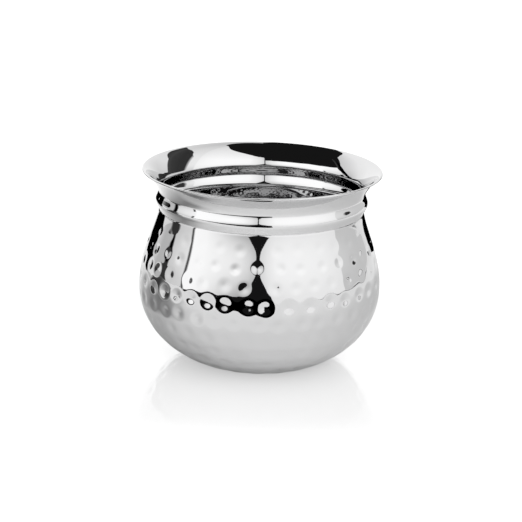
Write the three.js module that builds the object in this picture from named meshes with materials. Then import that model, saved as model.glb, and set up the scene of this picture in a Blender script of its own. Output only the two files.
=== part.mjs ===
// A small handi cooking pot in hammered stainless steel, in millimetres, with +Z up.
// Two plies of sheet are nested: an inner bowl that holds the food, and an outer jacket that
// starts under the bead of the neck. A spreader disc and a base disc lie between their floors.
// The pot stands on z = 0, and its axis is the Z axis.
import * as THREE from 'three';

// Outer sizes of the whole pot
const rimRadius = 65;
const potHeight = 105;
const waistRadius = 56.25;
const waistDrop = 11.6;
const beadRadius = 57.4;
const beadDrop = 17;
const creaseRadius = 55.6;
const creaseDrop = 21.7;
const bellyRadius = 65.9;
const bellyHeight = 41.5;
const footRadius = 35.2;

// How the outline leaves each of those places: a direction and how far it pulls
const rimSlope = THREE.MathUtils.degToRad(14);
const rimPull = 2.4;
const waistPull = 4.8;
const shoulderSlope = THREE.MathUtils.degToRad(10.5);
const shoulderPull = 13.7;
const bellyPullUp = 16.3;
const bellyPullDown = 22;
const footSlope = THREE.MathUtils.degToRad(21.7);
const footPull = 17.3;

// Sheet and discs
const bowlWall = 0.8;
const jacketWall = 0.6;
const plyClearance = 0.3;
const seamClearance = 0.3;
const flangeRadius = 27;
const baseDiscThickness = 0.8;
const spreaderThickness = 3;
const discInset = 1.6;
const floorMargin = 2.5;
const floorBlendRise = 3.5;
const floorBlendPull = 4;

// How finely the curves are divided
const turnSteps = 60;
const bellySteps = 8;
const flareSteps = 6;
const beadSteps = 4;
const blendSteps = 4;

// Heights that follow from the sizes above
const waistHeight = potHeight - waistDrop;
const beadHeight = potHeight - beadDrop;
const creaseHeight = potHeight - creaseDrop;
const flangeTop = jacketWall;
const baseDiscTop = flangeTop + baseDiscThickness;
const spreaderTop = baseDiscTop + spreaderThickness;
const discRadius = footRadius - discInset;

const point = (radius, height) => new THREE.Vector2(radius, height);

// A point a given way off another, along a direction measured up from the horizontal.
const pulled = (from, angle, distance) => point(
  from.x + distance * Math.cos(angle),
  from.y + distance * Math.sin(angle),
);

const curve = (start, startPull, endPull, end, steps) =>
  new THREE.CubicBezierCurve(start, startPull, endPull, end).getPoints(steps);

// One half of a rounded swelling: level at both ends, steepest in the middle.
function swell(start, end, steps) {
  return Array.from({ length: steps + 1 }, (_, step) => {
    const share = step / steps;
    const eased = (1 - Math.cos(Math.PI * share)) / 2;
    return point(
      THREE.MathUtils.lerp(start.x, end.x, eased),
      THREE.MathUtils.lerp(start.y, end.y, share),
    );
  });
}

// Joins runs of points into one line, and drops the point that two runs share.
const joined = (...runs) => runs.flatMap((run, index) => (index === 0 ? run : run.slice(1)));

// The line that lies a given distance to the left of another one, square to it.
function leftOf(line, distance) {
  return line.map((here, index) => {
    const before = line[Math.max(index - 1, 0)];
    const after = line[Math.min(index + 1, line.length - 1)];
    const along = after.clone().sub(before).normalize();
    return point(here.x - along.y * distance, here.y + along.x * distance);
  });
}

// Turns a profile about the Z axis. The profile runs up the outside and down the inside.
function turned(name, profile, material) {
  const geometry = new THREE.LatheGeometry(profile, turnSteps);
  geometry.rotateX(Math.PI / 2);
  const mesh = new THREE.Mesh(geometry, material);
  mesh.name = name;
  return mesh;
}

const polishedSteel = () => new THREE.MeshStandardMaterial({
  color: 0xd2d3d4, roughness: 0.06, metalness: 1,
});
const satinSteel = () => new THREE.MeshStandardMaterial({
  color: 0xb9babb, roughness: 0.32, metalness: 1,
});
const aluminium = () => new THREE.MeshStandardMaterial({
  color: 0xd7d9db, roughness: 0.45, metalness: 1,
});

// The outline of the belly from the foot up to the crease, in two curves that meet upright
const foot = point(footRadius, 0);
const belly = point(bellyRadius, bellyHeight);
const crease = point(creaseRadius, creaseHeight);
const bellyLine = joined(
  curve(
    foot,
    pulled(foot, footSlope, footPull),
    point(bellyRadius, bellyHeight - bellyPullDown),
    belly,
    bellySteps,
  ),
  curve(
    belly,
    point(bellyRadius, bellyHeight + bellyPullUp),
    pulled(crease, shoulderSlope - Math.PI / 2, shoulderPull),
    crease,
    bellySteps,
  ),
);

// The outline of the collar from the crease over the bead and the waist to the rim
const bead = point(beadRadius, beadHeight);
const waist = point(waistRadius, waistHeight);
const rimEdge = point(rimRadius, potHeight - bowlWall / 2);
const collarLine = joined(
  swell(crease, bead, beadSteps),
  swell(bead, waist, beadSteps),
  curve(
    waist,
    point(waistRadius, waistHeight + waistPull),
    pulled(rimEdge, rimSlope + Math.PI, rimPull),
    rimEdge,
    flareSteps,
  ),
);

// Outer jacket: a hammered shell with a flange turned in under the pot, which it stands on.
// Its top edge stops just under the bead, and that gap is the seam that shows.
function outerJacket() {
  const jacketLine = bellyLine.map((place) => place.clone());
  jacketLine.at(-1).y -= seamClearance;
  const outside = [point(flangeRadius, 0), ...jacketLine];
  const inside = leftOf(outside, jacketWall).reverse();
  inside[inside.length - 1] = point(flangeRadius, flangeTop);
  return turned('outer_jacket', [...outside, ...inside, outside[0]], polishedSteel());
}

// Inner bowl: one sheet from the flat floor up through the belly and the neck to the rim.
// In the belly it lies inside the jacket, and above the jacket's edge it steps out to show.
function innerBowl() {
  const nested = leftOf(bellyLine, jacketWall + plyClearance);
  const wall = nested.filter((place) => place.y > spreaderTop + floorBlendRise);
  const wallFoot = wall[0];
  const wallSlope = wall[1].clone().sub(wallFoot).angle();
  const floorEdge = point(discRadius + floorMargin, spreaderTop);
  const floorLine = curve(
    floorEdge,
    pulled(floorEdge, 0, floorBlendPull),
    pulled(wallFoot, wallSlope + Math.PI, floorBlendPull),
    wallFoot,
    blendSteps,
  );
  wall.at(-1).y = creaseHeight;
  const sheet = joined(floorLine, wall);
  const insideSheet = leftOf(sheet, bowlWall);
  insideSheet.at(-1).y = creaseHeight + bowlWall;
  const insideCollar = leftOf(collarLine, bowlWall).slice(1, -1);
  const rimTop = point(rimRadius - bowlWall / 2, potHeight);
  const outside = [point(0, spreaderTop), ...sheet, ...collarLine];
  const inside = [point(0, spreaderTop + bowlWall), ...insideSheet, ...insideCollar, rimTop];
  return turned('inner_bowl', [...outside, ...inside.reverse()], polishedSteel());
}

// A plain disc on the axis between two heights.
const disc = (name, radius, bottom, top, material) => turned(
  name,
  [point(0, bottom), point(radius, bottom), point(radius, top), point(0, top)],
  material,
);

const handiPot = new THREE.Group();
handiPot.add(
  innerBowl(),
  outerJacket(),
  disc('base_disc', discRadius, flangeTop, baseDiscTop, satinSteel()),
  disc('heat_spreader_disc', discRadius, baseDiscTop, spreaderTop, aluminium()),
);

export default handiPot;
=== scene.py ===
import math
import random

import bpy
import numpy as np
from mathutils import Matrix, Vector


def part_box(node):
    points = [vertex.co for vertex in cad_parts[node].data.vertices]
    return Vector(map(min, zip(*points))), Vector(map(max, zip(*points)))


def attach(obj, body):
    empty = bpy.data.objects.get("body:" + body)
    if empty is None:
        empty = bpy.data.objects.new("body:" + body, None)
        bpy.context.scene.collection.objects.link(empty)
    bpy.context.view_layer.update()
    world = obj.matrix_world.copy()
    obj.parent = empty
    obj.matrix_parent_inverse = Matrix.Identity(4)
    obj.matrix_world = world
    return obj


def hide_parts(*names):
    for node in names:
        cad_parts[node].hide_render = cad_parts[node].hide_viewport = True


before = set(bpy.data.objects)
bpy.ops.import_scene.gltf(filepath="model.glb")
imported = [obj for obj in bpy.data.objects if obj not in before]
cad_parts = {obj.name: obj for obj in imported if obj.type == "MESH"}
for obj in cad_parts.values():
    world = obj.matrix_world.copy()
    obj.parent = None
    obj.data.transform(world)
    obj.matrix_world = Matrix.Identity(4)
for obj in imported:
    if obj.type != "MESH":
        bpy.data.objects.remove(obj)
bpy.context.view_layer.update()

MM = 0.001
rng = random.Random(31)

# Sizes of the pot in millimetres, on the axis at x = y = 0 with the table at z = 0
bowl_low, bowl_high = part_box("inner_bowl")
jacket_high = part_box("outer_jacket")[1]
RIM_RADIUS = bowl_high.x / MM
POT_HEIGHT = bowl_high.z / MM
BELLY_RADIUS = jacket_high.x / MM
FLOOR_HEIGHT = bowl_low.z / MM
WAIST = (55.95, POT_HEIGHT - 11.8)
BEAD = (57.85, POT_HEIGHT - 17)
BEAD_REACH = 1.5
CREASE = (55.6, POT_HEIGHT - 21.7)
BELLY = (BELLY_RADIUS, 41.5)
FOOT = (35.2, 0)
FLANGE_RADIUS = 27
FLANGE_EDGE = 0.15
BOWL_WALL = 0.8
JACKET_WALL = 0.6
PLY_CLEARANCE = 0.3
SEAM_CLEARANCE = 0.3
RIM_EDGE = (RIM_RADIUS - 0.02, POT_HEIGHT - BOWL_WALL / 2)
RIM_ROUNDING = (-50, 100)
HUB_RADIUS = 0.5
FLOOR_RADIUS = 36.1
FLOOR_BLEND_HEIGHT = 8.2
FLOOR_BLEND_PULL = 5
# The bowl's sheet is tucked out a little at the crease. Its inside runs on past the crease for
# some points of the collar, so that it is smooth there.
CREASE_TUCK = 0.2
CREASE_SKIP = 5

# How the outline leaves each place: a direction in degrees up from the horizontal, and its pull
FOOT_SLOPE, FOOT_PULL = 21.7, 17.3
BELLY_PULL_DOWN, BELLY_PULL_UP = 22, 16.3
SHOULDER_SLOPE, SHOULDER_PULL = 10.5 - 90, 13.7
BEAD_TOP_SLOPE, BEAD_TOP_PULL = 110, 1.2
WAIST_SLOPE_BELOW, WAIST_PULL_BELOW = 104 - 180, 1.3
WAIST_SLOPE_ABOVE, WAIST_PULL_ABOVE = 78, 4.4
RIM_SLOPE, RIM_PULL = 14 + 180, 2.6

# Fineness of the meshes: places round the pot, steps in millimetres and points in a curve
TURNS = 640
FINE_STEP = 0.65
MIDDLE_STEP = 0.9
COLLAR_STEP = 0.5
COARSE_STEP = 2.5
CURVE_POINTS = 200
RIDGE_POINTS = 24
FLOOR_BLEND_POINTS = 12
RIM_POINTS = 9
SHARP_ANGLE = math.radians(40)


def bezier(start, start_pull, end_pull, end, count=CURVE_POINTS):
    """Points of a cubic curve through start and end."""
    t = np.linspace(0, 1, count)[:, None]
    a, b, c, d = (np.array(p, float) for p in (start, start_pull, end_pull, end))
    return (1 - t) ** 3 * a + 3 * (1 - t) ** 2 * t * b + 3 * (1 - t) * t ** 2 * c + t ** 3 * d


def ridge(start, peak, end, reach, count=RIDGE_POINTS):
    """Two straight sides that meet in a rounded ridge, reach long on each side of the peak."""
    start, peak, end = (np.array(place, float) for place in (start, peak, end))
    before = peak + reach * (start - peak) / np.linalg.norm(start - peak)
    after = peak + reach * (end - peak) / np.linalg.norm(end - peak)
    t = np.linspace(0, 1, count)[:, None]
    rounded = (1 - t) ** 2 * before + 2 * (1 - t) * t * peak + t ** 2 * after
    return np.vstack([start[None], rounded])


def pulled(place, degrees, distance):
    """The place a distance away, in a direction measured up from the horizontal."""
    angle = math.radians(degrees)
    return (place[0] + distance * math.cos(angle), place[1] + distance * math.sin(angle))


def joined(*runs):
    """One line of several runs, without the point that two runs share."""
    return np.vstack([runs[0]] + [run[1:] for run in runs[1:]])


def lengths_along(line):
    """How far along the line each of its points lies."""
    return np.r_[0, np.cumsum(np.hypot(*np.diff(line, axis=0).T))]


def resampled(line, step):
    """The same line with points an even distance apart."""
    along = lengths_along(line)
    even = np.linspace(0, along[-1], int(round(along[-1] / step)) + 1)
    return np.stack([np.interp(even, along, line[:, 0]), np.interp(even, along, line[:, 1])], 1)


def left_of(line, distance):
    """The line a given distance to the left, square to this one."""
    along = np.gradient(line, axis=0)
    along /= np.linalg.norm(along, axis=1)[:, None]
    return line + distance * np.stack([-along[:, 1], along[:, 0]], 1)


# Outline of the belly from the foot to the crease, and of the collar from the crease to the rim
belly_line = joined(
    bezier(
        FOOT,
        pulled(FOOT, FOOT_SLOPE, FOOT_PULL),
        (BELLY[0], BELLY[1] - BELLY_PULL_DOWN),
        BELLY,
    ),
    bezier(
        BELLY,
        (BELLY[0], BELLY[1] + BELLY_PULL_UP),
        pulled(CREASE, SHOULDER_SLOPE, SHOULDER_PULL),
        CREASE,
    ),
)
bead_line = ridge(CREASE, BEAD, WAIST, BEAD_REACH)
collar_line = joined(
    bead_line,
    bezier(
        bead_line[-1],
        pulled(bead_line[-1], BEAD_TOP_SLOPE, BEAD_TOP_PULL),
        pulled(WAIST, WAIST_SLOPE_BELOW, WAIST_PULL_BELOW),
        WAIST,
    ),
    bezier(
        WAIST,
        pulled(WAIST, WAIST_SLOPE_ABOVE, WAIST_PULL_ABOVE),
        pulled(RIM_EDGE, RIM_SLOPE, RIM_PULL),
        RIM_EDGE,
    ),
)
belly_fine = resampled(belly_line, FINE_STEP)
belly_middle = resampled(belly_line, MIDDLE_STEP)
belly_coarse = resampled(belly_line, COARSE_STEP)
collar_fine = resampled(collar_line, COLLAR_STEP)
belly_height_at = belly_line[:, 1]
belly_along = lengths_along(belly_line)


# The hammer marks: rows round the belly. The ball of the hammer leaves a small round pit, and
# the sheet about it slopes into the pit from all sides.
MARK_RADIUS = 5.3
PIT_SHARE = 0.24
MARK_SLOPE = math.radians(9.5)
MARK_PITCH = 11.4
TOP_ROW_HEIGHT = 75.3
ROW_PITCH = 9.85
# The marks fade out over this distance below the crease
MARK_FADE = 2
# How hard each row is struck, from the top one down: the widest part of the belly takes most
ROW_FORCE = (0.3, 0.78, 0.62, 1.05, 0.95, 1.0, 0.95, 0.9, 0.8, 0.5)
# How large its marks are: the blows near the neck are lighter, and leave smaller ones
ROW_SIZE = (0.8, 0.75, 0.88, 1, 1, 1, 1, 1, 1, 1)
# Azimuths in degrees of the marks at the front of some rows. The others are evenly spaced.
FRONT_MARKS = {
    0: (-10, 9.5),
    1: (-12, -1.4, 11),
    2: (-16.6, -6.9, 8, 17.5),
    3: (-50, -41.5, -33, -24, -15.4, -5, 3.4, 13.6, 24.5, 35, 44),
}
# How far a hand-struck mark strays: in degrees round the pot, of which the marks placed above
# get a share, and in millimetres up or down. Then the range of its size and of its force.
AZIMUTH_WANDER = 1.4
PLACED_SHARE = 0.3
ROW_WANDER = 0.7
SIZE_RANGE = (0.9, 1.08)
FORCE_RANGE = (0.85, 1.08)


def hammer_marks():
    """Azimuth, place along the belly's outline, radius and steepest slope of each mark."""
    marks = []
    top = np.interp(TOP_ROW_HEIGHT, belly_height_at, belly_along)
    for row, force in enumerate(ROW_FORCE):
        along = top - row * ROW_PITCH
        radius = np.interp(along, belly_along, belly_line[:, 0])
        count = int(round(2 * math.pi * radius / MARK_PITCH))
        gap = 360 / count
        # Rows that have no marks placed start half a gap on from each other
        azimuths = list(FRONT_MARKS.get(row, (gap * 0.5 * (row % 2),)))
        spare = 360 - (azimuths[-1] - azimuths[0])
        rest = int(round(spare / gap)) - 1
        azimuths += [azimuths[-1] + spare * (i + 1) / (rest + 1) for i in range(rest)]
        for azimuth in azimuths:
            share = PLACED_SHARE if azimuth in FRONT_MARKS.get(row, ()) else 1
            marks.append((
                math.radians(azimuth + share * rng.uniform(-AZIMUTH_WANDER, AZIMUTH_WANDER)),
                along + rng.uniform(-ROW_WANDER, ROW_WANDER),
                MARK_RADIUS * ROW_SIZE[row] * rng.uniform(*SIZE_RANGE),
                MARK_SLOPE * force * rng.uniform(*FORCE_RANGE),
            ))
    return marks


MARKS = hammer_marks()
AZIMUTHS = np.linspace(0, 2 * math.pi, TURNS, endpoint=False)


def mark_hollow(off):
    """Depth of a mark of unit radius and unit slope, at a share of its radius off its middle.

    The sheet is steepest at the edge of the pit, and levels out to the edge of the mark."""
    wide = 1 - PIT_SHARE
    beyond = np.clip((off - PIT_SHARE) / wide, 0, 1)
    slope = wide * (0.75 - beyond + 0.25 * beyond ** 4)
    pit = (PIT_SHARE ** 2 - np.minimum(off, PIT_SHARE) ** 2) / (2 * PIT_SHARE)
    return slope + pit


def dents(line_along, line_radius):
    """How deep the surface is beaten in, for each point of a belly line and each azimuth."""
    depth = np.zeros((len(line_along), TURNS))
    for azimuth, along, radius, slope in MARKS:
        rows = np.where(np.abs(line_along - along) < radius)[0]
        if not len(rows):
            continue
        turn = (AZIMUTHS - azimuth + math.pi) % (2 * math.pi) - math.pi
        reach = radius / line_radius[rows].min()
        cols = np.where(np.abs(turn) < reach)[0]
        across = turn[cols][None, :] * line_radius[rows][:, None]
        off = np.hypot(line_along[rows][:, None] - along, across) / radius
        depth[np.ix_(rows, cols)] += radius * math.tan(slope) * mark_hollow(off)
    return depth


def beaten(base, offset):
    """Radius and height grids of a belly line set off inwards, with the dents beaten in."""
    along = lengths_along(base)
    line = left_of(base, offset)
    inward = left_of(base, 1) - base
    fade = np.clip((along[-1] - along) / MARK_FADE, 0, 1)[:, None]
    depth = dents(along, base[:, 0]) * fade
    radius = line[:, 0][:, None] + inward[:, 0][:, None] * depth
    height = line[:, 1][:, None] + inward[:, 1][:, None] * depth
    return radius, height, depth


def plain(line):
    """Radius and height grids of a line that is the same all round."""
    ones = np.ones((1, TURNS))
    return line[:, 0][:, None] * ones, line[:, 1][:, None] * ones, np.zeros((len(line), TURNS))


def stacked(*grids):
    """Several sets of radius, height and depth grids, one upon the other."""
    return [np.vstack(parts) for parts in zip(*grids)]


def backwards(grids):
    return [grid[::-1] for grid in grids]


def turned_mesh(name, grids, on_axis):
    """One closed body turned about Z: rings of points that close on themselves, or that begin
    and end on the axis."""
    radius, height, depth = grids
    rings = len(radius)
    x = radius * np.sin(AZIMUTHS) * MM
    y = -radius * np.cos(AZIMUTHS) * MM
    points = np.stack([x, y, height * MM], -1).reshape(-1, 3)
    last = rings if not on_axis else rings - 1
    faces = []
    for ring in range(last):
        here = ring * TURNS
        there = ((ring + 1) % rings) * TURNS
        for turn in range(TURNS):
            after = (turn + 1) % TURNS
            faces.append((here + turn, here + after, there + after, there + turn))
    marks = depth.reshape(-1)
    if on_axis:
        for ring, flip in ((0, True), (rings - 1, False)):
            pole = len(points)
            points = np.vstack([points, [[0, 0, height[ring, 0] * MM]]])
            marks = np.append(marks, 0)
            here = ring * TURNS
            for turn in range(TURNS):
                after = (turn + 1) % TURNS
                pair = (here + after, here + turn) if flip else (here + turn, here + after)
                faces.append((pole,) + pair)
    mesh = bpy.data.meshes.new(name)
    mesh.from_pydata(points.tolist(), [], faces)
    mark_depth = mesh.attributes.new("mark_depth", "FLOAT", "POINT")
    mark_depth.data.foreach_set("value", marks.astype(np.float32))
    mesh.shade_smooth()
    mesh.set_sharp_from_angle(angle=SHARP_ANGLE)
    piece = bpy.data.objects.new(name, mesh)
    bpy.context.scene.collection.objects.link(piece)
    return piece


def arc(centre, radius, first, last, count):
    """Points round part of a circle, angles in degrees from the horizontal."""
    angles = np.radians(np.linspace(first, last, count))
    across = centre[0] + radius * np.cos(angles)
    up = centre[1] + radius * np.sin(angles)
    return np.stack([across, up], 1)


def make_jacket():
    """The hammered outer ply, from the flange under the pot to its top edge in the seam."""
    outside = beaten(belly_fine, 0)
    inside = beaten(belly_coarse, JACKET_WALL)
    for grids in (outside, inside):
        grids[1][-1] -= SEAM_CLEARANCE
    flange_low = plain(np.array([[FLANGE_RADIUS, FLANGE_EDGE], [FLANGE_RADIUS + FLANGE_EDGE, 0.0]]))
    flange_high = plain(np.array([[FLANGE_RADIUS, JACKET_WALL]]))
    for grids, level in ((outside, 0.0), (inside, JACKET_WALL)):
        grids[1][:] = np.maximum(grids[1], level)
    grids = stacked(flange_low, outside, backwards(inside), flange_high)
    return turned_mesh("hammered_jacket", grids, on_axis=False)


def make_bowl():
    """The inner ply, from its floor up the inside of the jacket and over the collar to the rim."""
    nested = JACKET_WALL + PLY_CLEARANCE
    keep = belly_coarse[:, 1] > FLOOR_BLEND_HEIGHT
    keep_middle = belly_middle[:, 1] > FLOOR_BLEND_HEIGHT
    outer_wall = [grid[keep] for grid in beaten(belly_coarse, nested)]
    inner_wall = [grid[keep_middle][:-1] for grid in beaten(belly_middle, nested + BOWL_WALL)]
    outer_wall[0][-1] += CREASE_TUCK
    outer_wall[1][-1] = CREASE[1]

    def floor_run(height, wall):
        """From the hub to the floor's edge at one height, and rounded up into the wall."""
        edge = (FLOOR_RADIUS, height)
        start = np.array([wall[0][0].mean(), wall[1][0].mean()])
        ahead = np.array([wall[0][1].mean(), wall[1][1].mean()])
        slope = math.degrees(math.atan2(*(ahead - start)[::-1]))
        blend = bezier(
            edge,
            pulled(edge, 0, FLOOR_BLEND_PULL),
            pulled(start, slope + 180, FLOOR_BLEND_PULL),
            start,
            FLOOR_BLEND_POINTS,
        )
        return plain(np.vstack([[(HUB_RADIUS, height)], blend[:-1]]))

    tip = np.array(RIM_EDGE) - (BOWL_WALL / 2, 0)
    rim = arc(tip, BOWL_WALL / 2, *RIM_ROUNDING, RIM_POINTS)
    collar_inside = left_of(collar_fine, BOWL_WALL)[CREASE_SKIP:-1]
    outside = stacked(
        floor_run(FLOOR_HEIGHT, outer_wall), outer_wall, plain(collar_fine[:-1]), plain(rim))
    inside = stacked(
        floor_run(FLOOR_HEIGHT + BOWL_WALL, inner_wall), inner_wall, plain(collar_inside))
    return turned_mesh("polished_bowl", stacked(outside, backwards(inside)), on_axis=True)


# Materials
STEEL_COLOUR = (0.67, 0.67, 0.673)
HAMMERED_COLOUR = (0.64, 0.64, 0.643)
SATIN_COLOUR = (0.62, 0.62, 0.625)
ALUMINIUM_COLOUR = (0.78, 0.78, 0.79)
# How much of the metal's colour is left under full tarnish, and at the bottom of a lathe groove
TARNISHED_SHARE = 0.8
GROOVE_SHARE = 0.82
# Depths in metres of the hairlines and of the lathe grooves, and how far hairlines are drawn out
HAIRLINE_DEPTH = 0.000005
GROOVE_DEPTH = 0.00005
HAIRLINE_STRETCH = 9
SMEAR_CONTRAST = 3
# The wave texture runs through this many radians in one unit of its scale
WAVE_RADIANS = 20
# Painted shade: the inside of the pot is painted darker over this distance below the crease, in
# millimetres
INNER_SHADE_BLEND = 10


def node_group(name, inputs, outputs):
    """An empty group of shader nodes with the sockets named."""
    group = bpy.data.node_groups.new(name, "ShaderNodeTree")
    for socket, kind, value in inputs:
        made = group.interface.new_socket(socket, in_out="INPUT", socket_type=kind)
        made.default_value = value
    for socket, kind in outputs:
        group.interface.new_socket(socket, in_out="OUTPUT", socket_type=kind)
    return group, group.nodes.new("NodeGroupInput"), group.nodes.new("NodeGroupOutput")


def math_node(tree, operation, a, b=None):
    """The outcome of a sum of two sockets or numbers."""
    node = tree.nodes.new("ShaderNodeMath")
    node.operation = operation
    for socket, value in zip(node.inputs, (a, b)):
        if isinstance(value, (int, float)):
            socket.default_value = value
        elif value is not None:
            tree.links.new(value, socket)
    return node.outputs[0]


def polish_group():
    """Fine marks of hand polishing: smears in the gloss, faint hairlines and a trace of tarnish."""
    group, given, out = node_group(
        "hand_polish",
        [
            ("Gloss", "NodeSocketFloat", 0.03),
            ("Smear", "NodeSocketFloat", 0.03),
            ("Smear Scale", "NodeSocketFloat", 45.0),
            ("Hairline Scale", "NodeSocketFloat", 260.0),
            ("Tarnish", "NodeSocketFloat", 0.03),
        ],
        [
            ("Roughness", "NodeSocketFloat"),
            ("Height", "NodeSocketFloat"),
            ("Shade", "NodeSocketFloat"),
        ],
    )
    nodes, links = group.nodes, group.links
    place = nodes.new("ShaderNodeTexCoord")
    smear = nodes.new("ShaderNodeTexNoise")
    smear.inputs["Detail"].default_value = 4
    links.new(place.outputs["Object"], smear.inputs["Vector"])
    links.new(given.outputs["Smear Scale"], smear.inputs["Scale"])
    hair = nodes.new("ShaderNodeTexNoise")
    hair.inputs["Detail"].default_value = 2
    stretch = nodes.new("ShaderNodeMapping")
    stretch.inputs["Scale"].default_value = (1, 1, HAIRLINE_STRETCH)
    links.new(place.outputs["Object"], stretch.inputs["Vector"])
    links.new(stretch.outputs["Vector"], hair.inputs["Vector"])
    links.new(given.outputs["Hairline Scale"], hair.inputs["Scale"])
    patchy = math_node(group, "POWER", smear.outputs["Fac"], SMEAR_CONTRAST)
    extra = math_node(group, "MULTIPLY", patchy, given.outputs["Smear"])
    links.new(math_node(group, "ADD", extra, given.outputs["Gloss"]), out.inputs["Roughness"])
    links.new(hair.outputs["Fac"], out.inputs["Height"])
    tarnish = math_node(group, "MULTIPLY", smear.outputs["Fac"], given.outputs["Tarnish"])
    links.new(tarnish, out.inputs["Shade"])
    return group


POLISH = polish_group()


def shade_of(colour, share):
    return (*[part * share for part in colour], 1)


def steel(name, colour, gloss, smear, hairline, tarnish=0.04, marks=0.0, painted_inner_shade=0.0):
    """Polished stainless steel.

    marks dulls the bottom of the hammer marks a little. The last argument is painted shade:
    how much darker the inside of the pot is painted below the neck, standing in for the shade in
    there."""
    material = bpy.data.materials.new(name)
    material.use_nodes = True
    tree = material.node_tree
    shader = tree.nodes["Principled BSDF"]
    shader.inputs["Metallic"].default_value = 1
    finish = tree.nodes.new("ShaderNodeGroup")
    finish.node_tree = POLISH
    finish.inputs["Gloss"].default_value = gloss
    finish.inputs["Smear"].default_value = smear
    finish.inputs["Tarnish"].default_value = tarnish
    depth = tree.nodes.new("ShaderNodeAttribute")
    depth.attribute_name = "mark_depth"
    dull = math_node(tree, "MULTIPLY", depth.outputs["Fac"], marks)
    roughness = math_node(tree, "ADD", finish.outputs["Roughness"], dull)
    tree.links.new(roughness, shader.inputs["Roughness"])
    tone = tree.nodes.new("ShaderNodeMix")
    tone.data_type = "RGBA"
    tone.inputs["A"].default_value = (*colour, 1)
    tone.inputs["B"].default_value = shade_of(colour, TARNISHED_SHARE)
    tree.links.new(finish.outputs["Shade"], tone.inputs["Factor"])
    place = tree.nodes.new("ShaderNodeTexCoord")
    parts = tree.nodes.new("ShaderNodeSeparateXYZ")
    tree.links.new(place.outputs["Object"], parts.inputs[0])
    # Painted shade: the colour is darkened inside the pot below the crease
    below = tree.nodes.new("ShaderNodeMapRange")
    below.inputs["From Min"].default_value = CREASE[1] * MM
    below.inputs["From Max"].default_value = (CREASE[1] - INNER_SHADE_BLEND) * MM
    tree.links.new(parts.outputs["Z"], below.inputs["Value"])
    darker = tree.nodes.new("ShaderNodeMix")
    darker.data_type = "RGBA"
    darker.inputs["B"].default_value = shade_of(colour, 1 - painted_inner_shade)
    tree.links.new(below.outputs["Result"], darker.inputs["Factor"])
    tree.links.new(tone.outputs["Result"], darker.inputs["A"])
    tree.links.new(darker.outputs["Result"], shader.inputs["Base Color"])
    bump = tree.nodes.new("ShaderNodeBump")
    bump.inputs["Strength"].default_value = hairline
    bump.inputs["Distance"].default_value = HAIRLINE_DEPTH
    tree.links.new(finish.outputs["Height"], bump.inputs["Height"])
    tree.links.new(bump.outputs["Normal"], shader.inputs["Normal"])
    return material


def turned_metal(name, colour, gloss, ring_width):
    """Metal with the concentric lines of a lathe, 2 pi times ring_width millimetres apart."""
    material = bpy.data.materials.new(name)
    material.use_nodes = True
    tree = material.node_tree
    shader = tree.nodes["Principled BSDF"]
    shader.inputs["Metallic"].default_value = 1
    place = tree.nodes.new("ShaderNodeTexCoord")
    rings = tree.nodes.new("ShaderNodeTexWave")
    rings.wave_type = "RINGS"
    rings.rings_direction = "Z"
    rings.inputs["Scale"].default_value = 1 / (ring_width * MM * WAVE_RADIANS)
    rings.inputs["Distortion"].default_value = 0.6
    rings.inputs["Detail"].default_value = 3
    tree.links.new(place.outputs["Object"], rings.inputs["Vector"])
    finish = tree.nodes.new("ShaderNodeGroup")
    finish.node_tree = POLISH
    finish.inputs["Gloss"].default_value = gloss
    finish.inputs["Smear"].default_value = 0.2
    tree.links.new(finish.outputs["Roughness"], shader.inputs["Roughness"])
    tone = tree.nodes.new("ShaderNodeMix")
    tone.data_type = "RGBA"
    tone.inputs["A"].default_value = (*colour, 1)
    tone.inputs["B"].default_value = shade_of(colour, GROOVE_SHARE)
    tree.links.new(rings.outputs["Fac"], tone.inputs["Factor"])
    tree.links.new(tone.outputs["Result"], shader.inputs["Base Color"])
    bump = tree.nodes.new("ShaderNodeBump")
    bump.inputs["Strength"].default_value = 0.4
    bump.inputs["Distance"].default_value = GROOVE_DEPTH
    tree.links.new(rings.outputs["Fac"], bump.inputs["Height"])
    tree.links.new(bump.outputs["Normal"], shader.inputs["Normal"])
    return material


# The polished steel carries painted shade inside the pot below the neck
collar_steel = steel(
    "polished_steel", STEEL_COLOUR, gloss=0.015, smear=0.05, hairline=0.05, painted_inner_shade=0.1)
jacket_steel = steel(
    "hammered_steel", HAMMERED_COLOUR, gloss=0.02, smear=0.06, hairline=0.05, marks=0.05)
satin_steel = turned_metal("satin_steel", SATIN_COLOUR, gloss=0.26, ring_width=0.5)
spreader_metal = turned_metal(
    "spreader_aluminium", ALUMINIUM_COLOUR, gloss=0.4, ring_width=0.8)

jacket = make_jacket()
jacket.data.materials.append(jacket_steel)
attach(jacket, "root")
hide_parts("outer_jacket")

bowl = make_bowl()
bowl.data.materials.append(collar_steel)
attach(bowl, "root")
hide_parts("inner_bowl")

for node, material, slot in (
    ("base_disc", satin_steel, "satin_steel"),
    ("heat_spreader_disc", spreader_metal, "spreader_aluminium"),
):
    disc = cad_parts[node]
    disc.data.materials.clear()
    disc.data.materials.append(material)

# The studio in metres: a pale glossy table, and a white tent round it and black flags that only
# the steel sees. Cards inside the tent stand in layers, each before the last.
TENT_RADIUS = 2.2
TENT_CENTRE = 0.05
FLAG_RADIUS = TENT_RADIUS * 0.9
SECOND_LAYER = FLAG_RADIUS * 0.98
THIRD_LAYER = FLAG_RADIUS * 0.96
FOURTH_LAYER = FLAG_RADIUS * 0.94
FLAG_LIFT = 0.0004
SHADE_LIFT = FLAG_LIFT / 2
# Fineness of the cards and of the shade on the table, in degrees and in rows
CARD_STEP = 2
CARD_ROWS = 17
SHADE_STEP = 4
TENT_STRENGTH = 1.48
TENT_FOR_MATT = 0.92
# The tent passes from its low glow to its high glow between two elevations in degrees, and
# fades towards its top
LOW_ELEVATION = 5
HIGH_ELEVATION = 27
FADE_ELEVATIONS = (42, 80)
FADE_SHARES = (1, 0.66)
MIRRORED_WHITE = 1.3


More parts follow.
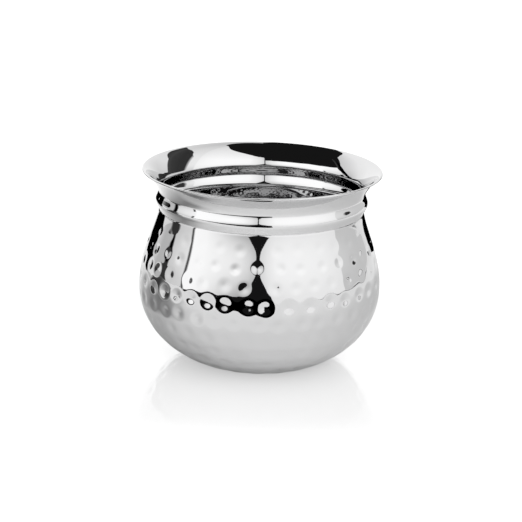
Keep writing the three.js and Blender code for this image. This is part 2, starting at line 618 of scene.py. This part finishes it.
def see_through_back(tree, front):
    """Gives a material its output, with the front's shader on the front and none on the back."""
    side = tree.nodes.new("ShaderNodeNewGeometry")
    nothing = tree.nodes.new("ShaderNodeBsdfTransparent")
    either = tree.nodes.new("ShaderNodeMixShader")
    tree.links.new(side.outputs["Backfacing"], either.inputs[0])
    tree.links.new(front.outputs[0], either.inputs[1])
    tree.links.new(nothing.outputs[0], either.inputs[2])
    out = tree.nodes.new("ShaderNodeOutputMaterial")
    tree.links.new(either.outputs[0], out.inputs["Surface"])


def table_sees_white(tree, path, strength):
    """The strength, but plain white in the table's mirror image.

    The camera looks at the table through one clear sheet, and a ray that has passed it is told
    by its depth."""
    passed = math_node(tree, "GREATER_THAN", path.outputs["Transparent Depth"], 0.5)
    mirrored = math_node(tree, "MULTIPLY", passed, path.outputs["Is Glossy Ray"])
    direct = math_node(tree, "SUBTRACT", 1, mirrored)
    own = math_node(tree, "MULTIPLY", strength, direct)
    white = math_node(tree, "MULTIPLY", mirrored, MIRRORED_WHITE)
    return math_node(tree, "ADD", own, white)


def glow_material(name, strength, matt_share):
    """An emitter whose strength follows the card's glow, and is less for matt surfaces.

    The back of a card is see-through."""
    material = bpy.data.materials.new(name)
    material.use_nodes = True
    tree = material.node_tree
    tree.nodes.clear()
    glow = tree.nodes.new("ShaderNodeAttribute")
    glow.attribute_name = "glow"
    path = tree.nodes.new("ShaderNodeLightPath")
    less = math_node(tree, "MULTIPLY", path.outputs["Is Diffuse Ray"], matt_share - 1)
    scale = math_node(tree, "MULTIPLY", math_node(tree, "ADD", less, 1), strength)
    own = math_node(tree, "MULTIPLY", glow.outputs["Fac"], scale)
    emitter = tree.nodes.new("ShaderNodeEmission")
    tree.links.new(table_sees_white(tree, path, own), emitter.inputs["Strength"])
    see_through_back(tree, emitter)
    return material


def stage_card(name, points, faces, glow, material, lights=False):
    """A card that only reflections see, and that lights matt surfaces where lights is set."""
    mesh = bpy.data.meshes.new(name)
    mesh.from_pydata(points, [], faces)
    glow_of_points = mesh.attributes.new("glow", "FLOAT", "POINT")
    glow_of_points.data.foreach_set("value", np.array(glow, np.float32))
    mesh.materials.append(material)
    card = bpy.data.objects.new(name, mesh)
    bpy.context.scene.collection.objects.link(card)
    card.visible_camera = False
    card.visible_shadow = False
    card.visible_diffuse = lights


def strip_faces(columns, rows):
    """The faces of a sheet whose points run up one column after the other."""
    faces = []
    for column in range(columns - 1):
        for row in range(rows - 1):
            a = column * rows + row
            faces.append((a, a + 1, a + rows + 1, a + rows))
    return faces


def studio_card(name, edges, material, radius=TENT_RADIUS, lights=False):
    """A curved card round the pot.

    edges gives (azimuth, low, high, glow) or (azimuth, low, high, low glow, high glow).
    Azimuth 0 is towards the camera and grows to the right, and low and high are elevations in
    degrees, seen from the middle of the pot."""
    azimuths, *columns = zip(*(edge if len(edge) == 5 else edge + (edge[3],) for edge in edges))
    even = np.arange(azimuths[0], azimuths[-1], CARD_STEP)
    steps = np.unique(np.concatenate([even, azimuths]))
    points, glow = [], []
    for azimuth in steps:
        low, high, dim, full = (np.interp(azimuth, azimuths, column) for column in columns)
        for row in range(CARD_ROWS):
            degrees = low + (high - low) * row / (CARD_ROWS - 1)
            elevation = math.radians(degrees)
            turn = math.radians(azimuth)
            flat = radius * math.cos(elevation)
            height = TENT_CENTRE + radius * math.sin(elevation)
            points.append((flat * math.sin(turn), -flat * math.cos(turn), height))
            level = np.interp(degrees, (LOW_ELEVATION, HIGH_ELEVATION), (dim, full))
            glow.append(level * np.interp(degrees, FADE_ELEVATIONS, FADE_SHARES))
    stage_card(name, points, strip_faces(len(steps), CARD_ROWS), glow, material, lights)


def table_flag(name, edges, material):
    """A flat card on the table.

    edges gives (azimuth, near, far) for a black one, or else (azimuth, near, far, near glow,
    far glow)."""
    points, glows = [], []
    for azimuth, near, far, *glow in edges:
        turn = math.radians(azimuth)
        for distance in (near, far):
            points.append((distance * math.sin(turn), -distance * math.cos(turn), FLAG_LIFT))
        glows += glow or (0, 0)
    stage_card(name, points, strip_faces(len(edges), 2), glows, material)


tent = glow_material("tent_cloth", TENT_STRENGTH, TENT_FOR_MATT)

studio_card("left_tent", [
    (-180, -2, 76, 0.74, 0.74), (-168, -2, 60, 0.78, 0.78), (-160, -2, 50, 0.8, 0.8),
    (-150, -2, 50, 0.82, 0.82), (-135, -2, 49, 0.7, 0.8), (-120, -2, 48, 0.45, 0.66),
    (-112, -2, 46, 0.45, 0.6), (-106, -2, 31, 0.45, 0.6), (-104, -2, 30, 0.55, 0.9),
    (-90, -1, 31, 0.62, 0.95), (-84, -1, 32, 0.64, 0.95), (-77, 0, 33, 0.68, 1),
    (-74, 0, 33, 1, 1), (-60, 2, 36, 0.96, 1), (-45, 3, 37, 0.8, 1),
    (-30, 3.5, 39, 0.56, 1), (-20, 4.5, 40, 0.42, 0.95),
    (-13.5, 8, 40, 0.36, 0.85), (-11.3, 11, 41, 0.34, 0.82), (-9.3, 14, 41, 0.3, 0.78),
    (-7.2, 16.5, 41, 0.3, 0.72), (-4.5, 19.5, 41, 0.3, 0.66), (-3.4, 23, 41, 0.3, 0.6),
], tent, lights=True)
studio_card("right_tent", [
    (-2.2, 25, 50, 0.5, 0.66), (-0.8, 23, 51, 0.55, 0.7), (0.9, 19.5, 51, 0.6, 0.76),
    (3.8, 16, 52, 0.64, 0.8), (6, 13, 52, 0.7, 0.83), (8, 10, 53, 0.74, 0.86),
    (11.5, 7, 54, 0.78, 0.9), (11.6, -2, 54, 0.78, 0.9), (16, -2, 56, 0.8, 0.96),
    (30, -2, 60, 0.84, 0.98), (60, -2, 66, 0.84, 0.98), (75, -2, 70, 0.82, 0.95),
    (87, -2, 72, 0.8, 0.9), (88, -2, 72, 0.56, 0.83), (100, -2, 72, 0.56, 0.8),
    (120, -2, 74, 0.54, 0.72), (150, -2, 76, 0.54, 0.72),
    (165, -2, 78, 0.7, 0.76), (180, -2, 80, 0.74, 0.8),
], tent, lights=True)
studio_card("left_post_far", [(-144, -1.5, 4, 0), (-131.5, -1.5, 5, 0)], tent, FLAG_RADIUS)
studio_card("left_post_near", [
    (-108, -1.5, 13, 0.4), (-106, -1.5, 14, 0), (-102.5, -1.5, 14, 0), (-101, -1.5, 13, 0.3),
], tent, FLAG_RADIUS)
studio_card("left_post_thin", [
    (-79, -1.5, 17, 0.6), (-77.5, -1.5, 17, 0.06), (-76.5, -1.5, 17, 0.06), (-75, -1.5, 16, 0.6),
], tent, FLAG_RADIUS)
studio_card("right_window", [
    (99, 14, 44, 0.6), (103, 12, 46, 0.03), (107, 11, 50, 0.03), (115, 10, 52, 0.03),
    (127, 10, 52, 0.04), (133, 12, 52, 0.06),
], tent, FLAG_RADIUS)
studio_card("right_window_top", [
    (131, 30, 52, 0.05), (140, 36, 52, 0.04), (149, 42, 50, 0.03),
], tent, SECOND_LAYER)
studio_card("right_slope", [
    (127, 9, 14, 0.05), (140, 3, 11, 0), (153, -1.2, 5, 0),
], tent, SECOND_LAYER)
studio_card("left_post_low", [
    (-112.5, -1.5, 2.5, 0.3), (-110, -1.5, 3, 0.03), (-104, -1.5, 6, 0.03),
    (-99, -1.5, 5, 0.03), (-96.5, -1.5, 3, 0.3),
], tent, THIRD_LAYER)
studio_card("left_slope", [
    (-131, 3, 7, 0.3), (-124, 5, 10, 0.05), (-117, 7, 14, 0), (-111, 13, 24, 0),
    (-107, 18, 36, 0), (-104.5, 22, 42, 0), (-101, 28, 46, 0.05),
], tent, FOURTH_LAYER)
table_flag("table_edge_left", [
    (-76, 1.5, 3.2), (-68, 1.6, 3.2), (-60, 1.1, 3.2), (-52, 0.8, 3.2), (-44, 0.56, 3.2),
    (-37, 0.42, 3.2), (-24, 0.32, 3.2), (-12, 0.265, 3.2), (-4, 0.243, 3.2), (8, 0.232, 3.2),
    (11.5, 0.28, 3.2),
], tent)
table_flag("table_edge_back", [
    (-158, 0.42, 1.2), (-150, 0.44, 1.6), (-140, 0.4, 3), (-130, 0.36, 3),
    (-128.5, 0.38, 0.8, 0.2, 0.2), (-126, 0.38, 0.5, 0.45, 0.45),
    (-118, 0.36, 0.46, 0.45, 0.45), (-114.5, 0.33, 0.9, 0.04, 0.1), (-111, 0.32, 3, 0.03, 0.2),
    (-104, 0.3, 3, 0.03, 0.1), (-99, 0.28, 1.6, 0.05, 0.2), (-95, 0.25, 0.7, 0.16, 0.16),
    (-87, 0.3, 0.5, 0.35, 0.35),
], tent)
table_flag("table_edge_right", [
    (55, 1.4, 1.5, 0.12, 0.12), (62, 1.2, 1.5, 0.12, 0.12), (95, 1.1, 1.5, 0.12, 0.12),
    (118, 1.1, 1.5, 0.12, 0.12), (126, 1.1, 1.5, 0.5, 0.5),
], tent)
table_flag("table_edge_far", [
    (143, 0.6, 1.5), (155, 0.3, 1.5), (168, 0.22, 0.6), (180, 0.2, 0.3),
], tent)

# The table near the pot as the steel sees it: how much of its light is left, ring by ring, at
# some azimuths. It is darkest to the left.
SHADE_RINGS = (0.034, 0.05, 0.105, 0.125, 0.22, 0.4)
SHADES = (
    (-152, 1, 1, 1, 1, 1, 1),
    (-135, 0.6, 0.6, 0.6, 0.75, 0.8, 1),
    (-110, 0.5, 0.5, 0.58, 0.42, 0.35, 1),
    (-90, 0.45, 0.5, 0.6, 0.26, 0.2, 1),
    (-75, 0.5, 0.58, 0.68, 0.34, 0.5, 1),
    (-62, 0.55, 0.66, 0.82, 0.7, 0.95, 1),
    (-45, 0.6, 0.75, 0.9, 1, 1, 1),
    (-25, 0.7, 0.9, 0.95, 1, 1, 1),
    (0, 0.75, 0.97, 0.96, 1, 1, 1),
    (30, 0.75, 0.97, 0.93, 0.97, 1, 1),
    (60, 0.75, 0.9, 0.85, 0.88, 0.95, 1),
    (90, 0.75, 0.85, 0.77, 0.75, 0.8, 1),
    (120, 0.75, 0.8, 0.7, 0.68, 0.7, 1),
    (145, 0.8, 0.8, 0.7, 0.62, 0.65, 1),
    (165, 1, 1, 1, 1, 1, 1),
)


def table_shade():
    """A clear sheet on the table that dims what the steel sees through it."""
    material = bpy.data.materials.new("table_shade")
    material.use_nodes = True
    tree = material.node_tree
    tree.nodes.clear()
    left = tree.nodes.new("ShaderNodeAttribute")
    left.attribute_name = "glow"
    veil = tree.nodes.new("ShaderNodeBsdfTransparent")
    tree.links.new(left.outputs["Color"], veil.inputs["Color"])
    see_through_back(tree, veil)
    azimuths, *rings = zip(*SHADES)
    steps = np.arange(azimuths[0], azimuths[-1] + 1, SHADE_STEP)
    points, shades = [], []
    for azimuth in steps:
        turn = math.radians(azimuth)
        for distance, ring in zip(SHADE_RINGS, rings):
            points.append((distance * math.sin(turn), -distance * math.cos(turn), SHADE_LIFT))
            shades.append(np.interp(azimuth, azimuths, ring))
    faces = strip_faces(len(steps), len(SHADE_RINGS))
    stage_card("table_shade", points, faces, shades, material)


table_shade()

# Table: a wide glossy sheet, lifted to white for the camera. Close to the pot it shows the
# pot's mirror image and shade. It lies a hair under the pot, and is see-through from below.
TABLE_RADIUS = 3.2
TABLE_CORNERS = 128
TABLE_DROP = 0.0001
TABLE_WHITE = 0.88
TABLE_WHITE_SEEN = 0.5
TABLE_ROUGHNESS = 0.02
TABLE_IOR = 2.2
# The glow that lifts the table to white for the camera, near the pot and far from it, and the
# weaker one that the steel sees
LIFT_NEAR = 0.43
LIFT_FAR = 0.62
LIFT_SHARPNESS = 6
STEEL_LIFT = 0.13
STEEL_LIFT_NEAR = 0.35
STEEL_LIFT_SHARPNESS = 3
# The mirror image fades out between these distances from the pot's axis, and later to the sides
MIRROR_FROM = 0.035
MIRROR_TO = 0.135
MIRROR_MOST = 0.3
MIRROR_SQUEEZE = 0.4


def table_gloss():
    """White gloss sheet. The camera sees less of its shade, and a mirror image that fades out."""
    material = bpy.data.materials.new("table_gloss")
    material.use_nodes = True
    tree = material.node_tree
    nodes, links = tree.nodes, tree.links
    nodes.clear()
    path = nodes.new("ShaderNodeLightPath")
    camera_ray = path.outputs["Is Camera Ray"]
    place = nodes.new("ShaderNodeTexCoord")
    squeezed = nodes.new("ShaderNodeVectorMath")
    squeezed.operation = "MULTIPLY"
    squeezed.inputs[1].default_value = (MIRROR_SQUEEZE, 1, 1)
    links.new(place.outputs["Object"], squeezed.inputs[0])
    distance = nodes.new("ShaderNodeVectorMath")
    distance.operation = "LENGTH"
    links.new(squeezed.outputs["Vector"], distance.inputs[0])
    reach = nodes.new("ShaderNodeMapRange")
    reach.inputs["From Min"].default_value = MIRROR_FROM
    reach.inputs["From Max"].default_value = MIRROR_TO
    links.new(distance.outputs["Value"], reach.inputs["Value"])
    fade = reach.outputs["Result"]

    matt = nodes.new("ShaderNodeBsdfDiffuse")
    dim = math_node(tree, "MULTIPLY", camera_ray, TABLE_WHITE_SEEN - TABLE_WHITE)
    links.new(math_node(tree, "ADD", dim, TABLE_WHITE), matt.inputs["Color"])
    gloss = nodes.new("ShaderNodeBsdfGlossy")
    gloss.inputs["Color"].default_value = (1, 1, 1, 1)
    gloss.inputs["Roughness"].default_value = TABLE_ROUGHNESS
    fresnel = nodes.new("ShaderNodeFresnel")
    fresnel.inputs["IOR"].default_value = TABLE_IOR
    mirror = math_node(tree, "MINIMUM", fresnel.outputs[0], MIRROR_MOST)
    faded = math_node(tree, "MULTIPLY", fade, camera_ray)
    left = math_node(tree, "SUBTRACT", camera_ray, faded)
    share = math_node(tree, "MULTIPLY", mirror, left)
    coat = nodes.new("ShaderNodeMixShader")
    links.new(share, coat.inputs[0])
    links.new(matt.outputs[0], coat.inputs[1])
    links.new(gloss.outputs[0], coat.inputs[2])

    edge = math_node(tree, "POWER", fade, LIFT_SHARPNESS)
    more = math_node(tree, "MULTIPLY", edge, LIFT_FAR - LIFT_NEAR)
    lifted = math_node(tree, "ADD", more, LIFT_NEAR)
    to_camera = math_node(tree, "MULTIPLY", camera_ray, lifted)
    nearness = math_node(tree, "SUBTRACT", 1, fade)
    sharp = math_node(tree, "POWER", nearness, STEEL_LIFT_SHARPNESS)
    ring = math_node(tree, "MULTIPLY", sharp, fade)
    ring_lift = math_node(tree, "MULTIPLY", ring, STEEL_LIFT_NEAR)
    steel_lift = math_node(tree, "ADD", ring_lift, STEEL_LIFT)
    to_steel = math_node(tree, "MULTIPLY", steel_lift, path.outputs["Is Glossy Ray"])
    lift = nodes.new("ShaderNodeEmission")
    links.new(math_node(tree, "ADD", to_camera, to_steel), lift.inputs["Strength"])
    both = nodes.new("ShaderNodeAddShader")
    links.new(coat.outputs[0], both.inputs[0])
    links.new(lift.outputs[0], both.inputs[1])
    see_through_back(tree, both)
    return material


def clear_sheet():
    """Nothing to see: it only adds one to the depth of a ray that passes it."""
    material = bpy.data.materials.new("clear_sheet")
    material.use_nodes = True
    tree = material.node_tree
    tree.nodes.clear()
    clear = tree.nodes.new("ShaderNodeBsdfTransparent")
    out = tree.nodes.new("ShaderNodeOutputMaterial")
    tree.links.new(clear.outputs[0], out.inputs["Surface"])
    return material


def table_sheet(name, height, material):
    bpy.ops.mesh.primitive_circle_add(
        vertices=TABLE_CORNERS, radius=TABLE_RADIUS, fill_type="NGON")
    sheet = bpy.context.object
    sheet.name = name
    sheet.location.z = height
    sheet.data.materials.append(material)
    return sheet


table_sheet("table", -TABLE_DROP, table_gloss())
clear = table_sheet("clear_sheet", -TABLE_DROP / 2, clear_sheet())
for kind in ("glossy", "diffuse", "transmission", "volume_scatter", "shadow"):
    setattr(clear, "visible_" + kind, False)

# World: white to the camera and to matt surfaces, and almost black to the steel above the tent
WORLD_FOR_MATT = 1.0
WORLD_FOR_STEEL = 0.011
world = bpy.data.worlds.new("studio")
bpy.context.scene.world = world
world.use_nodes = True
tree = world.node_tree
sky = tree.nodes["Background"]
sky.inputs["Color"].default_value = (1, 1, 1, 1)
path = tree.nodes.new("ShaderNodeLightPath")
steel_part = math_node(tree, "MULTIPLY", path.outputs["Is Glossy Ray"], WORLD_FOR_STEEL)
seen = math_node(tree, "ADD", steel_part, path.outputs["Is Camera Ray"])
matt_part = math_node(tree, "MULTIPLY", path.outputs["Is Diffuse Ray"], WORLD_FOR_MATT)
own = math_node(tree, "ADD", seen, matt_part)
tree.links.new(table_sees_white(tree, path, own), sky.inputs["Strength"])

# Camera, solved from the rim's ellipse in the photograph: the picture's width and the focal
# length in pixels, and the place in metres
PICTURE_WIDTH = 522
FOCAL_PIXELS = 2216
CAMERA_REACH = 50
PITCH = math.radians(16.18)
ROLL = math.radians(1.6)
CAMERA_PLACE = Vector((0.0006, -1.1653, 0.3913))
camera_data = bpy.data.cameras.new("camera")
camera_data.sensor_fit = "HORIZONTAL"
camera_data.angle = 2 * math.atan(PICTURE_WIDTH / 2 / FOCAL_PIXELS)
camera_data.clip_end = CAMERA_REACH
camera = bpy.data.objects.new("camera", camera_data)
bpy.context.scene.collection.objects.link(camera)
forward = Vector((0, math.cos(PITCH), -math.sin(PITCH)))
level = Vector((1, 0, 0))
upright = level.cross(forward)
right = math.cos(ROLL) * level + math.sin(ROLL) * upright
up = -math.sin(ROLL) * level + math.cos(ROLL) * upright
turn = Matrix((right, up, -forward)).transposed().to_4x4()
camera.matrix_world = Matrix.Translation(CAMERA_PLACE) @ turn
bpy.context.scene.camera = camera

bpy.context.scene.view_settings.view_transform = "Standard"
